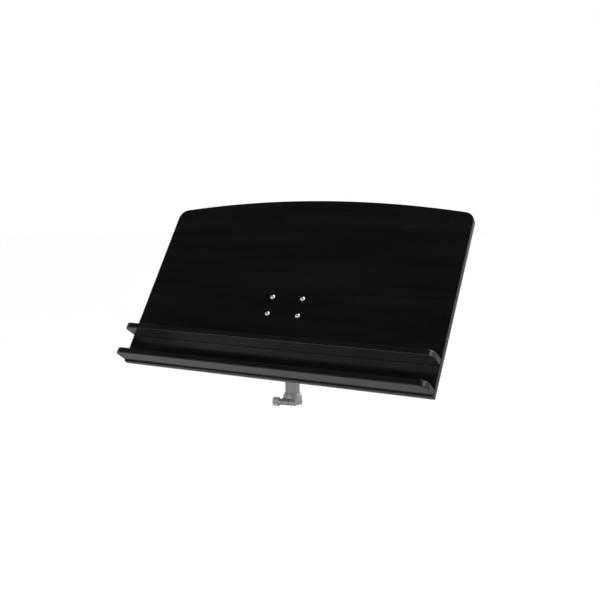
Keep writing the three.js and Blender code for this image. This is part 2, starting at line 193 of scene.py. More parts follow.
def circle_points(radius, z, steps):
    angles = [2 * math.pi * i / steps for i in range(steps)]
    return [(radius * math.cos(a), radius * math.sin(a), z) for a in angles]


def face_outwards():
    bpy.ops.mesh.select_all(action="SELECT")
    bpy.ops.mesh.normals_make_consistent(inside=False)


def turned(name, profile, steps=48):
    """A solid of revolution about z: a ring extruded and scaled through each (radius, z) of the
    profile. A profile that ends where it starts makes a ring, and any other is capped."""
    radius, z = profile[0]
    ring = profile[-1] == profile[0]
    piece = new_loop(name, circle_points(radius, z, steps))
    edit(piece)
    for next_radius, next_z in profile[1:]:
        bpy.ops.mesh.extrude_edges_move(
            TRANSFORM_OT_translate={"value": (0, 0, next_z - z)})
        scale = next_radius / radius
        if scale != 1:
            bpy.ops.transform.resize(value=(scale, scale, 1), center_override=(0, 0, next_z))
        radius, z = next_radius, next_z
    if ring:
        bpy.ops.mesh.select_all(action="SELECT")
        bpy.ops.mesh.remove_doubles(threshold=0.001 * MM)
    else:
        bpy.ops.mesh.edge_face_add()
        bpy.ops.mesh.select_all(action="DESELECT")
        bpy.ops.mesh.select_mode(type="EDGE")
        bpy.ops.mesh.select_non_manifold()
        bpy.ops.mesh.edge_face_add()
        bpy.ops.mesh.select_mode(type="VERT")
    face_outwards()
    leave_edit()
    return piece


def rod(name, radius, low, high, steps=48):
    return turned(name, [(radius, low), (radius, high)], steps)


def slab(name, outline, low, high):
    """A plate of the given outline in x and y, extruded from z = low to z = high."""
    piece = new_loop(name, [(x, y, low) for x, y in outline])
    edit(piece)
    bpy.ops.mesh.edge_face_add()
    bpy.ops.mesh.extrude_region_move(TRANSFORM_OT_translate={"value": (0, 0, high - low)})
    face_outwards()
    leave_edit()
    return piece


def combine(piece, tool, operation):
    apply_modifier(piece, "BOOLEAN", operation=operation, object=tool, solver="EXACT")
    bpy.data.objects.remove(tool)
    return piece


def cut(piece, *tools):
    for tool in tools:
        combine(piece, tool, "DIFFERENCE")
    return piece


def join(piece, *others):
    for other in others:
        combine(piece, other, "UNION")
    return piece


def round_edges(piece, width, steps=3, angle=32):
    apply_modifier(
        piece, "BEVEL", width=width, segments=steps, limit_method="ANGLE",
        angle_limit=math.radians(angle), miter_outer="MITER_ARC",
    )
    return piece


def cast(piece, grain, passes):
    """Runs a joined shape into one skin with soft inner corners, as a casting has."""
    apply_modifier(piece, "REMESH", mode="VOXEL", voxel_size=grain)
    apply_modifier(piece, "SMOOTH", factor=0.5, iterations=passes)
    return piece


def smooth_faces(piece, angle=35):
    only(piece)
    bpy.ops.object.shade_smooth_by_angle(angle=math.radians(angle))
    apply_modifier(piece, "WEIGHTED_NORMAL", keep_sharp=True, weight=80)


def arc(x, y, radius, start, end, steps):
    """Points round part of a circle, with the angles in degrees."""
    turns = [math.radians(start + (end - start) * i / steps) for i in range(steps + 1)]
    return [(x + radius * math.cos(turn), y + radius * math.sin(turn)) for turn in turns]


def copy_piece(piece, name):
    """A copy of a piece with its own mesh."""
    only(piece)
    bpy.ops.object.duplicate(linked=False)
    copy = bpy.context.active_object
    copy.name = name
    copy.data.name = name
    return copy


def install(piece, place, body, slot, *nodes, material=None):
    """Moves a piece's mesh to its place, gives it its finish, and lets it stand for its CAD nodes."""
    only(piece)
    piece.matrix_world = place
    bpy.ops.object.transform_apply(location=True, rotation=True, scale=True)
    smooth_faces(piece)
    piece.data.materials.clear()
    piece.data.materials.append(finish(material or slot))
    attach(piece, body)
    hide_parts(*nodes)
    return piece


def install_copies(piece, name, nodes, turn, body, slot):
    """Installs a copy of a piece for each node, each turned a little further about its own axis."""
    for index, node in enumerate(nodes):
        place = centred(node, DESK) @ Matrix.Rotation(turn * index, 4, "Z")
        install(copy_piece(piece, f"{name}_{index + 1}"), place, body, slot, node)
    bpy.data.objects.remove(piece)


# ---------------------------------------------------------------- settings

class BoardSettings(PropertyGroup):
    """Sizes and colours of the lacquered wood."""
    edge_radius: FloatProperty(
        name="Edge Radius", description="Rounding of the wood's edges",
        default=1.3 * MM, min=0.1 * MM, unit="LENGTH")
    arch_rise: FloatProperty(
        name="Arch Rise", description="Drop of the arched top from its middle to its sides",
        default=28.5 * MM, min=1 * MM, unit="LENGTH")
    corner_radius: FloatProperty(
        name="Corner Radius", description="Rounding of the board's two top corners",
        default=22 * MM, min=1 * MM, unit="LENGTH")
    ledge_corner_radius: FloatProperty(
        name="Ledge Corner Radius", description="Rounding of each ledge's front corners",
        default=16 * MM, min=1 * MM, unit="LENGTH")
    plies: IntProperty(name="Plies", description="Veneers in the board's thickness", default=9, min=3)
    lacquer_colour: FloatVectorProperty(
        name="Lacquer", description="Colour of the black lacquer",
        default=(0.0028, 0.0028, 0.0030), subtype="COLOR", min=0, max=1)
    grain_colour: FloatVectorProperty(
        name="Grain", description="Colour where the grain shows through the lacquer",
        default=(0.0072, 0.0069, 0.0067), subtype="COLOR", min=0, max=1)
    gloss_roughness: FloatProperty(
        name="Roughness", description="Roughness of the lacquered faces",
        default=0.18, min=0, max=1, subtype="FACTOR")
    edge_roughness: FloatProperty(
        name="Edge Roughness", description="Roughness that the cut edges add to the lacquered faces",
        default=0.04, min=0, max=1, subtype="FACTOR")
    lacquer_ior: FloatProperty(
        name="Lacquer IOR", description="Refractive index of the lacquer", default=1.43, min=1.3, max=1.7)


class HardwareSettings(PropertyGroup):
    """Sizes and colours of the metal and plastic."""
    thread_pitch: FloatProperty(
        name="Thread Pitch", description="Distance between the turns of the board bolts' thread",
        default=1 * MM, min=0.3 * MM, unit="LENGTH")
    socket_flats: FloatProperty(
        name="Socket", description="Width across the flats of the bolt heads' hexagon sockets",
        default=4 * MM, min=1 * MM, unit="LENGTH")
    collar_radius: FloatProperty(
        name="Collar Radius", description="Outer radius of the collar at its foot",
        default=20.8 * MM, min=5 * MM, unit="LENGTH")
    collar_wall: FloatProperty(
        name="Collar Wall", description="Wall of the collar round the column's socket",
        default=3.1 * MM, min=1 * MM, unit="LENGTH")
    slit: FloatProperty(
        name="Slit", description="Width of the slit between the collar's lugs",
        default=1.5 * MM, min=0.3 * MM, unit="LENGTH")
    knob_lobes: IntProperty(name="Knob Lobes", description="Lobes round each knob", default=5, min=3)
    lobe_depth: FloatProperty(
        name="Lobe Depth", description="Share of a knob's radius between its lobes and valleys",
        default=0.22, min=0, max=0.5, subtype="FACTOR")
    clamp_knob_turn: FloatProperty(
        name="Clamp Knob Turn", description="Direction of the clamp knob's first lobe",
        default=math.radians(135), subtype="ANGLE")
    tilt_knob_turn: FloatProperty(
        name="Tilt Knob Turn", description="Direction of the tilt knob's first lobe",
        default=math.radians(-90), subtype="ANGLE")
    zinc_colour: FloatVectorProperty(
        name="Zinc", description="Colour of the plated fasteners",
        default=(0.72, 0.73, 0.75), subtype="COLOR", min=0, max=1)
    grey_colour: FloatVectorProperty(
        name="Satin Grey", description="Colour of the stem, its head and the clamp",
        default=(0.33, 0.33, 0.33), subtype="COLOR", min=0, max=1)
    coat_colour: FloatVectorProperty(
        name="Black Coat", description="Colour of the powder-coated bracket",
        default=(0.018, 0.018, 0.019), subtype="COLOR", min=0, max=1)
    grey_plastic_colour: FloatVectorProperty(
        name="Grey Plastic", description="Colour of the clamp's knob",
        default=(0.30, 0.30, 0.30), subtype="COLOR", min=0, max=1)
    black_plastic_colour: FloatVectorProperty(
        name="Black Plastic", description="Colour of the tilt knob, the sleeve and the plug",
        default=(0.02, 0.02, 0.021), subtype="COLOR", min=0, max=1)
    brass_colour: FloatVectorProperty(
        name="Brass", description="Colour of the threaded inserts",
        default=(0.72, 0.50, 0.21), subtype="COLOR", min=0, max=1)


class StageSettings(PropertyGroup):
    """The camera, the floor and the light."""
    azimuth: FloatProperty(
        name="Azimuth", description="How far round to the right the camera stands",
        default=math.radians(29.43), subtype="ANGLE")
    elevation: FloatProperty(
        name="Elevation", description="How far above the horizon the camera stands",
        default=math.radians(6.62), subtype="ANGLE")
    distance: FloatProperty(
        name="Distance", description="From the camera to the point it looks at",
        default=1.761, min=0.1, unit="LENGTH")
    aim: FloatVectorProperty(
        name="Aim", description="The point the camera looks at, from the middle of the tilt axis",
        default=(0.0050, 0.0228, 0.0281), subtype="TRANSLATION")
    lens: FloatProperty(name="Lens", description="Focal length in millimetres", default=51.23, min=10)
    floor_drop: FloatProperty(
        name="Floor Drop", description="How far the floor lies below the collar",
        default=0.75, min=0, unit="LENGTH")
    floor_radius: FloatProperty(
        name="Floor Radius", description="Radius of the floor", default=30, min=1, unit="LENGTH")
    mirrored_colour: FloatVectorProperty(
        name="Mirrored Floor", description="Brightness of the floor as the lacquer mirrors it",
        default=(0.44, 0.43, 0.435), subtype="COLOR", min=0, max=1)
    floor_colour: FloatVectorProperty(
        name="Floor", description="Colour of the floor",
        default=(0.86, 0.86, 0.86), subtype="COLOR", min=0, max=1)
    horizon: FloatProperty(
        name="Horizon", description="Brightness of the backdrop near the horizon", default=1.0, min=0)
    ceiling: FloatProperty(
        name="Ceiling", description="Brightness of the studio overhead", default=0.05, min=0)
    key_strength: FloatProperty(
        name="Key Light", description="Strength of the soft light from above and behind",
        default=3.6, min=0)
    side_strength: FloatProperty(
        name="Side Light", description="Power of the soft light at the right, in watts",
        default=20, min=0)
    front_strength: FloatProperty(
        name="Front Light", description="Power of the low soft light at the front left, in watts",
        default=8.5, min=0)


# ---------------------------------------------------------------- finishes

FINISH_ENDING = "_finish"


class Shader:
    """A material under construction: its tree, its surface shader and shorthands for its nodes."""

    def __init__(self, name, colour, roughness, metallic=0.0):
        self.material = bpy.data.materials.new(name + FINISH_ENDING)
        self.material.use_nodes = True
        self.tree = self.material.node_tree
        self.surface = self.tree.nodes["Principled BSDF"]
        self.surface.inputs["Base Color"].default_value = (*colour, 1)
        self.surface.inputs["Roughness"].default_value = roughness
        self.surface.inputs["Metallic"].default_value = metallic
        self.coordinates = self.tree.nodes.new("ShaderNodeTexCoord")

    def link(self, output, target):
        self.tree.links.new(output, target)

    def place(self, source, scale, location=(0, 0, 0), rotation=(0, 0, 0)):
        """Object coordinates taken back to a place and stretched by scale along its axes."""
        back = self.tree.nodes.new("ShaderNodeMapping")
        back.vector_type = "TEXTURE"
        back.inputs["Location"].default_value = location
        back.inputs["Rotation"].default_value = rotation
        stretch = self.tree.nodes.new("ShaderNodeMapping")
        stretch.inputs["Scale"].default_value = scale
        self.link(source, back.inputs["Vector"])
        self.link(back.outputs["Vector"], stretch.inputs["Vector"])
        return stretch.outputs["Vector"]

    def noise(self, vector, scale, detail=3.0, roughness=0.5, distortion=0.0):
        node = self.tree.nodes.new("ShaderNodeTexNoise")
        node.inputs["Scale"].default_value = scale
        node.inputs["Detail"].default_value = detail
        node.inputs["Roughness"].default_value = roughness
        node.inputs["Distortion"].default_value = distortion
        self.link(vector, node.inputs["Vector"])
        return node.outputs["Fac"]

    def axis(self, vector, name):
        """One coordinate of a vector."""
        node = self.tree.nodes.new("ShaderNodeSeparateXYZ")
        self.link(vector, node.inputs["Vector"])
        return node.outputs[name]

    def spread(self, value, low, high, to_low, to_high):
        """Maps a value from one range to another, held at both ends."""
        node = self.tree.nodes.new("ShaderNodeMapRange")
        for name, number in (
            ("From Min", low), ("From Max", high), ("To Min", to_low), ("To Max", to_high),
        ):
            node.inputs[name].default_value = number
        self.link(value, node.inputs["Value"])
        return node.outputs["Result"]

    def math(self, operation, first, second):
        node = self.tree.nodes.new("ShaderNodeMath")
        node.operation = operation
        for socket, value in zip(node.inputs, (first, second)):
            if isinstance(value, (int, float)):
                socket.default_value = value
            else:
                self.link(value, socket)
        return node.outputs["Value"]

    def blend(self, factor, low, high):
        """Mixes two colours."""
        node = self.tree.nodes.new("ShaderNodeMix")
        node.data_type = "RGBA"
        sockets = {s.identifier: s for s in node.inputs}
        self.link(factor, sockets["Factor_Float"])
        for name, value in (("A_Color", low), ("B_Color", high)):
            if isinstance(value, bpy.types.NodeSocket):
                self.link(value, sockets[name])
            else:
                sockets[name].default_value = (*value, 1)
        return {s.identifier: s for s in node.outputs}["Result_Color"]

    def bump(self, height, strength, distance, under=None):
        node = self.tree.nodes.new("ShaderNodeBump")
        node.inputs["Strength"].default_value = strength
        node.inputs["Distance"].default_value = distance
        self.link(height, node.inputs["Height"])
        if under is not None:
            self.link(under, node.inputs["Normal"])
        return node.outputs["Normal"]

    def use(self, **outputs):
        for name, output in outputs.items():
            self.link(output, self.surface.inputs[name.replace("_", " ").title()])


def lacquer_finish(name, plies, ply_axis, low, high):
    """Black lacquer on plywood: long pores and flecks along the board, a little orange peel, and
    veneer lines on the edges that were cut across them."""
    board = bpy.context.scene.music_stand_board
    shader = Shader(name, board.lacquer_colour, board.gloss_roughness)
    shader.surface.inputs["IOR"].default_value = board.lacquer_ior
    source = shader.coordinates.outputs["Object"]
    turn = DESK.to_euler()

    def along(x, y, z):
        return shader.place(source, (x, y, z), TILT_AXIS, turn)

    figure = shader.noise(along(3, 46, 46), 1.0, detail=4, roughness=0.6, distortion=0.35)
    flecks = shader.noise(along(28, 420, 420), 1.0, detail=2, roughness=0.4)
    pores = shader.noise(along(90, 2600, 2600), 1.0, detail=1, roughness=0.3)
    peel = shader.noise(along(1, 1, 1), 420, detail=1.5)
    smears = shader.noise(along(7, 7, 7), 1.0, detail=3, roughness=0.55)

    # the lines of the veneers, only where a face doesn't look out of the veneers' own plane
    depth = shader.axis(along(1, 1, 1), ply_axis)
    normal = shader.place(shader.coordinates.outputs["Normal"], (1, 1, 1), (0, 0, 0), turn)
    facing = shader.math("ABSOLUTE", shader.axis(normal, ply_axis), 0)
    cut_face = shader.spread(facing, 0.1, 0.5, 1.0, 0.0)
    ply = (high - low) / plies
    veneer = shader.math("PINGPONG", shader.math("SUBTRACT", depth, low), ply)
    lines = shader.spread(veneer, 0.25 * ply, 0.75 * ply, 0.0, 1.0)
    cut_lines = shader.math("MULTIPLY", cut_face, lines)

    streaks = shader.spread(figure, 0.42, 0.66, 0.0, 0.55)
    fleck = shader.spread(flecks, 0.56, 0.72, 0.0, 0.45)
    amount = shader.math("ADD", streaks, fleck)
    grained = shader.blend(amount, board.lacquer_colour, board.grain_colour)
    coloured = shader.blend(shader.math("MULTIPLY", cut_lines, 0.5), grained, board.grain_colour)
    rubbed = shader.spread(smears, 0.35, 0.7, board.gloss_roughness - 0.02, board.gloss_roughness + 0.05)
    rough = shader.math("ADD", rubbed, shader.math("MULTIPLY", cut_face, board.edge_roughness))
    surface = shader.bump(peel, 0.05, 0.15 * MM)
    surface = shader.bump(shader.spread(pores, 0.35, 0.5, 0.0, 1.0), 0.12, 0.06 * MM, surface)
    surface = shader.bump(flecks, 0.08, 0.12 * MM, surface)
    surface = shader.bump(cut_lines, 0.35, 0.08 * MM, surface)
    shader.use(base_color=coloured, roughness=rough, normal=surface)
    return shader.material


def board_finish():
    low, high = span("desk_panel", DESK)
    plies = bpy.context.scene.music_stand_board.plies
    return lacquer_finish("black_lacquer", plies, "Z", low.z, high.z)


def ledge_finish():
    low, high = span("lower_ledge", DESK)
    plies = bpy.context.scene.music_stand_board.plies
    return lacquer_finish("black_lacquer_ledge", plies, "Y", low.y, high.y)


def zinc_finish():
    """Bright zinc plate: a fine streaked roughness and faint clouding."""
    colour = bpy.context.scene.music_stand_hardware.zinc_colour
    shader = Shader("zinc_steel", colour, 0.26, 1.0)
    source = shader.coordinates.outputs["Object"]
    cloud = shader.noise(source, 260, detail=3)
    streak = shader.noise(shader.place(source, (300, 4200, 4200)), 1.0, detail=2)
    darker = [value * 0.86 for value in colour]
    shader.use(
        base_color=shader.blend(shader.spread(cloud, 0.35, 0.65, 0.0, 1.0), darker, colour),
        roughness=shader.spread(streak, 0.3, 0.7, 0.2, 0.34),
        normal=shader.bump(streak, 0.08, 0.04 * MM),
    )
    return shader.material


def grey_finish():
    """Satin grey enamel over metal: soft mottling, a faint peel and a few darker rubbed patches."""
    colour = bpy.context.scene.music_stand_hardware.grey_colour
    shader = Shader("satin_grey", colour, 0.36, 0.55)
    source = shader.coordinates.outputs["Object"]
    mottle = shader.noise(source, 55, detail=4, roughness=0.6)
    fine = shader.noise(source, 900, detail=2)
    darker = [value * 0.88 for value in colour]
    shader.use(
        base_color=shader.blend(shader.spread(mottle, 0.35, 0.68, 0.0, 1.0), darker, colour),
        roughness=shader.spread(mottle, 0.3, 0.7, 0.32, 0.42),
        normal=shader.bump(fine, 0.08, 0.08 * MM),
    )
    return shader.material


def coat_finish():
    """Fine-textured black powder coat."""
    colour = bpy.context.scene.music_stand_hardware.coat_colour
    shader = Shader("black_steel", colour, 0.5)
    source = shader.coordinates.outputs["Object"]
    texture = shader.noise(source, 1500, detail=2, roughness=0.6)
    cloud = shader.noise(source, 40, detail=2)
    lighter = [value * 1.5 for value in colour]
    shader.use(
        base_color=shader.blend(shader.spread(texture, 0.45, 0.75, 0.0, 1.0), colour, lighter),
        roughness=shader.spread(cloud, 0.3, 0.7, 0.42, 0.55),
        normal=shader.bump(texture, 0.35, 0.12 * MM),
    )
    return shader.material


def plastic_finish(name, colour, roughness):
    """Moulded plastic with a fine spark-eroded texture."""
    shader = Shader(name, colour, roughness)
    source = shader.coordinates.outputs["Object"]
    texture = shader.noise(source, 2200, detail=1.5)
    cloud = shader.noise(source, 90, detail=3)
    lighter = [min(1.0, value * 1.12) for value in colour]
    shader.use(
        base_color=shader.blend(shader.spread(cloud, 0.35, 0.65, 0.0, 1.0), colour, lighter),
        roughness=shader.spread(cloud, 0.3, 0.7, roughness - 0.05, roughness + 0.05),
        normal=shader.bump(texture, 0.18, 0.08 * MM),
    )
    return shader.material


def brass_finish():
    """Turned brass with fine tool lines across its length."""
    colour = bpy.context.scene.music_stand_hardware.brass_colour
    shader = Shader("brass", colour, 0.3, 1.0)
    source = shader.coordinates.outputs["Object"]
    lines = shader.noise(shader.place(source, (6000, 60, 60)), 1.0, detail=1)
    cloud = shader.noise(source, 300, detail=2)
    darker = [value * 0.8 for value in colour]
    shader.use(
        base_color=shader.blend(shader.spread(cloud, 0.35, 0.65, 0.0, 1.0), darker, colour),
        roughness=shader.spread(cloud, 0.3, 0.7, 0.24, 0.36),
        normal=shader.bump(lines, 0.2, 0.05 * MM),
    )
    return shader.material


def grey_plastic_finish():
    colour = bpy.context.scene.music_stand_hardware.grey_plastic_colour
    return plastic_finish("grey_plastic", colour, 0.42)


def black_plastic_finish():
    colour = bpy.context.scene.music_stand_hardware.black_plastic_colour
    return plastic_finish("black_plastic", colour, 0.45)


FINISHES = {
    "black_lacquer": board_finish,
    "black_lacquer_ledge": ledge_finish,
    "zinc_steel": zinc_finish,
    "satin_grey": grey_finish,
    "black_steel": coat_finish,
    "grey_plastic": grey_plastic_finish,
    "black_plastic": black_plastic_finish,
    "brass": brass_finish,
}


def finish(slot):
    """The material of a slot, made the first time that it is asked for."""
    return bpy.data.materials.get(slot + FINISH_ENDING) or FINISHES[slot]()


# ---------------------------------------------------------------- operators

class MUSICSTAND_OT_board(Operator):
    """Make the board: an arched plate with rounded edges and countersunk bores in its back"""
    bl_idname = "music_stand.board"
    bl_label = "Board"
    bl_options = {"REGISTER", "UNDO"}

    def execute(self, context):
        board = context.scene.music_stand_board
        low, high = span("desk_panel", DESK)
        half = high.x
        rise = board.arch_rise
        arch_radius = (half * half + rise * rise) / (2 * rise)
        arch_y = high.y - arch_radius
        corner_x = half - board.corner_radius
        corner_y = arch_y + math.sqrt((arch_radius - board.corner_radius) ** 2 - corner_x ** 2)
        start = math.degrees(math.atan2(corner_y - arch_y, corner_x))
        outline = [(-half, low.y), (half, low.y)]
        outline += arc(corner_x, corner_y, board.corner_radius, 0, start, 16)
        outline += arc(0, arch_y, arch_radius, start, 180 - start, 72)[1:-1]
        outline += arc(-corner_x, corner_y, board.corner_radius, 180 - start, 180, 16)
        piece = slab("board", outline, low.z, high.z)
        round_edges(piece, board.edge_radius, steps=4)
        bore_depth = 8 * MM
        for name in screw_nodes():
            screw_low, screw_high = span(name, DESK)
            head = (screw_high.x - screw_low.x) / 2 + FIT_GAP
            shank = head / 2
            bore = turned("bore", [
                (head + 0.5 * MM, low.z - OVERRUN), (head, low.z + FIT_GAP),
                (shank, low.z + head - shank + FIT_GAP), (shank, low.z + bore_depth),
            ], 32)
            bore.matrix_world = over(name)
            cut(piece, bore)
        for name in numbered("panel_bolt", 4):
            hole = rod("bore", BOLT_BORE, low.z - OVERRUN, high.z + OVERRUN, 32)
            hole.matrix_world = over(name)
            cut(piece, hole)
        install(piece, DESK, "desk", "black_lacquer", "desk_panel")
        return {"FINISHED"}


def numbered(stem, count):
    return [f"{stem}_{i + 1}" for i in range(count)]


def screw_nodes():
    return numbered("lower_ledge_screw", 5) + numbered("upper_ledge_screw", 5)


class MUSICSTAND_OT_ledges(Operator):
    """Make the two ledges: flat plates with rounded front corners and edges"""
    bl_idname = "music_stand.ledges"
    bl_label = "Ledges"
    bl_options = {"REGISTER", "UNDO"}

    def execute(self, context):
        board = context.scene.music_stand_board
        side = axes_place(TILT_AXIS, ACROSS, BOARD_OUT, -BOARD_UP)
        low, high = span("lower_ledge", side)
        radius = board.ledge_corner_radius
        outline = [(low.x, low.y), (high.x, low.y)]
        outline += arc(high.x - radius, high.y - radius, radius, 0, 90, 20)
        outline += arc(low.x + radius, high.y - radius, radius, 90, 180, 20)
        lower = slab("lower_shelf", outline, low.z, high.z)
        round_edges(lower, board.edge_radius * 1.15, steps=4)
        lower.matrix_world = side
        pilot_length = 50 * MM
        for screw in numbered("lower_ledge_screw", 5):
            tip = span(screw, DESK)[1].z
            pilot = rod("pilot", PILOT_RADIUS, tip - pilot_length, tip + FIT_GAP, 24)
            pilot.matrix_world = centred(screw, DESK)
            cut(lower, pilot)
        lower.matrix_world = STEM
        upper = copy_piece(lower, "upper_shelf")
        rise = span("upper_ledge", side)[0].z - low.z
        install(lower, side, "desk", "black_lacquer", "lower_ledge", material="black_lacquer_ledge")
        install(upper, shifted(side, z=rise), "desk", "black_lacquer", "upper_ledge",
                material="black_lacquer_ledge")
        return {"FINISHED"}


class MUSICSTAND_OT_shelf_screws(Operator):
    """Make the countersunk screws that hold the ledges: crossed drive, tapered head and thread"""
    bl_idname = "music_stand.shelf_screws"
    bl_label = "Ledge Screws"
    bl_options = {"REGISTER", "UNDO"}

    def execute(self, context):
        nodes = screw_nodes()
        low, high = span(nodes[0], centred(nodes[0], DESK))
        head = high.x
        shank = head * 0.5
        core = shank * 0.72
        pitch = 1.8 * MM
        z = low.z + 10 * MM
        profile = [(head, low.z), (head, low.z + 0.3 * MM), (shank, low.z + head - shank + 0.4 * MM)]
        profile += [(shank, z), (core, z + 0.4 * MM)]
        while z < high.z - 6 * MM:
            profile += [(core, z + 0.55 * pitch), (shank, z + 0.75 * pitch), (core, z + 0.95 * pitch)]
            z += pitch
        profile.append((core * 0.12, high.z))
        piece = turned("shelf_screw", profile, 24)
        drive_depth = 1.7 * MM
        drive = cross_outline(head * 0.62, head * 0.17)
        cut(piece, slab("drive", drive, low.z - OVERRUN, low.z + drive_depth))
        round_edges(piece, 0.12 * MM, steps=2, angle=40)
        install_copies(piece, "shelf_screw", nodes, math.radians(37), "desk", "zinc_steel")
        return {"FINISHED"}


def cross_outline(reach, half):
    """The outline of a crossed drive."""
    quarter = [(reach, -half), (reach, half), (half, half)]
    points = []
    for turn in range(4):
        spin = Matrix.Rotation(math.radians(90 * turn), 2)
        points += [tuple(spin @ Vector(point)) for point in quarter]
    return points


def hexagon(flats):
    reach = flats / math.sqrt(3)
    return [(reach * x, reach * y) for x, y in arc(0, 0, 1, 0, 300, 5)]


def threaded(radius, low, high, pitch):
    """Profile points of a thread between two heights, as a stack of ridges."""
    turns = max(1, round((high - low) / pitch))
    step = (high - low) / turns
    core = radius - 0.55 * step
    points = []
    for i in range(turns):
        z = low + i * step
        points += [(core, z + 0.1 * step), (radius, z + 0.45 * step), (radius, z + 0.6 * step),
                   (core, z + 0.95 * step)]
    return points


class MUSICSTAND_OT_board_bolts(Operator):
    """Make the button-head bolts: domed head, hexagon socket and threaded end"""
    bl_idname = "music_stand.board_bolts"
    bl_label = "Board Bolts"
    bl_options = {"REGISTER", "UNDO"}

    def execute(self, context):
        hardware = context.scene.music_stand_hardware
        nodes = numbered("panel_bolt", 4)
        front = span("desk_panel", DESK)[1].z
        low, high = span(nodes[0], centred(nodes[0], DESK))
        head = high.x
        shank = 3 * MM
        seat = front + 0.05 * MM
        rim = seat + 0.55 * MM
        thread_end = low.z + 16 * MM
        profile = [(shank * 0.72, low.z)]
        profile += threaded(shank, low.z + 0.5 * MM, thread_end, hardware.thread_pitch)
        profile += [(shank, thread_end + 0.5 * MM), (shank, seat), (head * 0.97, seat),
                    (head, seat + 0.25 * MM), (head, rim)]
        dome = arc(0, 0, 1, 0, 68, 10)
        profile += [(head * x, rim + (high.z - rim) * y / dome[-1][1]) for x, y in dome[1:]]
        piece = turned("board_bolt", profile, 48)
        socket_depth = 2.1 * MM
        socket = hexagon(hardware.socket_flats)
        cut(piece, slab("socket", socket, high.z - socket_depth, high.z + OVERRUN))
        round_edges(piece, 0.1 * MM, steps=2, angle=50)
        install_copies(piece, "board_bolt", nodes, math.radians(17), "desk", "zinc_steel")
        return {"FINISHED"}


class MUSICSTAND_OT_board_nuts(Operator):
    """Make the flange nuts: a chamfered hexagon on a dished flange"""
    bl_idname = "music_stand.board_nuts"
    bl_label = "Board Nuts"
    bl_options = {"REGISTER", "UNDO"}

    def execute(self, context):
        nodes = numbered("panel_nut", 4)
        place = centred(nodes[0], DESK)
        low, high = span(nodes[0], place)
        bore, flange = radii(nodes[0], place)
        flats = 10 * MM
        hexed = hexagon_head(flats, low.z, high.z - 0.4 * MM)
        piece = turned("board_nut", [
            (flats * 0.44, high.z - 2.6 * MM), (flats * 0.5, high.z - 2.4 * MM),
            (flange * 0.97, high.z - 1.1 * MM), (flange, high.z - 0.9 * MM),
            (flange, high.z - 0.25 * MM), (flange * 0.97, high.z),
        ], 48)
        join(piece, hexed)
        cut(piece, rod("bore", bore, low.z - OVERRUN, high.z + OVERRUN, 32))
        round_edges(piece, 0.12 * MM, steps=2, angle=40)
        install_copies(piece, "board_nut", nodes, math.radians(23), "desk", "zinc_steel")
        return {"FINISHED"}


def hexagon_head(flats, low, high):
    """A hexagon with its corners turned off at the lower end."""
    corner = flats / math.sqrt(3) + 0.4 * MM
    piece = slab("hexagon", hexagon(flats), low, high)
    turning = turned("turning", [
        (flats * 0.46, low - 0.01 * MM), (corner, low + 0.11 * flats), (corner, high + OVERRUN),
    ], 48)
    return combine(piece, turning, "INTERSECT")


def weld_bead(length, steps=26):
    """A rippled weld along z, as long as given, with its middle at the origin."""
    start = -length / 2
    profile = [(0.8 * MM, start)]
    for i in range(1, steps):
        ripple = 0.18 * math.cos(math.pi * i)
        profile.append(((1.7 + ripple) * MM, start + length * i / steps))
    profile.append((0.8 * MM, start + length))
    return turned("bead", profile, 16)


class MUSICSTAND_OT_bracket(Operator):
    """Make the bracket behind the board: a plate with two welded ears"""
    bl_idname = "music_stand.bracket"
    bl_label = "Bracket"
    bl_options = {"REGISTER", "UNDO"}

    def execute(self, context):
        low, high = span("tilt_bracket", DESK)
        sheet = 3 * MM
        corner = 8 * MM
        back = high.z - sheet
        corners = ((1, 1, 0), (-1, 1, 90), (-1, -1, 180), (1, -1, 270))
        outline = []
        for x, y, turn in corners:
            outline += arc(x * (high.x - corner), y * (high.y - corner), corner, turn, turn + 90, 8)
        piece = slab("bracket", outline, back, high.z)
        ear_outside = span("tilt_washer", PIVOT)[0].z - FIT_GAP
        ear_radius = -low.z
        foot = 20 * MM
        root = back + sheet / 2
        foot_angle = math.degrees(math.atan2(root, foot))
        tangent = foot_angle - math.degrees(math.acos(ear_radius / math.hypot(foot, root)))
        ear_outline = [(-foot, root)] + arc(0, 0, ear_radius, -180 - tangent, tangent, 40) + [(foot, root)]
        on_side = axes_place(Vector(), Vector((0, 1, 0)), Vector((0, 0, 1)), ACROSS)
        along_board = Matrix.Rotation(math.radians(-90), 4, "X")
        for side in (-1, 1):
            inner, outer = sorted((side * (ear_outside - sheet), side * ear_outside))
            ear = slab("ear", ear_outline, inner, outer)
            ear.matrix_world = on_side
            join(piece, ear)
            for face in (inner, outer):
                bead = weld_bead(2 * foot - 4 * MM)
                bead.matrix_world = Matrix.Translation((face, 0, back)) @ along_board
                join(piece, bead)
        for name in numbered("panel_bolt", 4):
            hole = rod("bore", BOLT_BORE, back - OVERRUN, high.z + OVERRUN, 32)
            hole.matrix_world = over(name)
            cut(piece, hole)
        pivot = rod("bore", PIVOT_BORE, -ear_outside - OVERRUN, ear_outside + OVERRUN, 40)
        pivot.matrix_world = on_side
        cut(piece, pivot)
        round_edges(piece, 0.35 * MM, steps=2, angle=50)
        install(piece, DESK, "desk", "black_steel", "tilt_bracket")
        return {"FINISHED"}


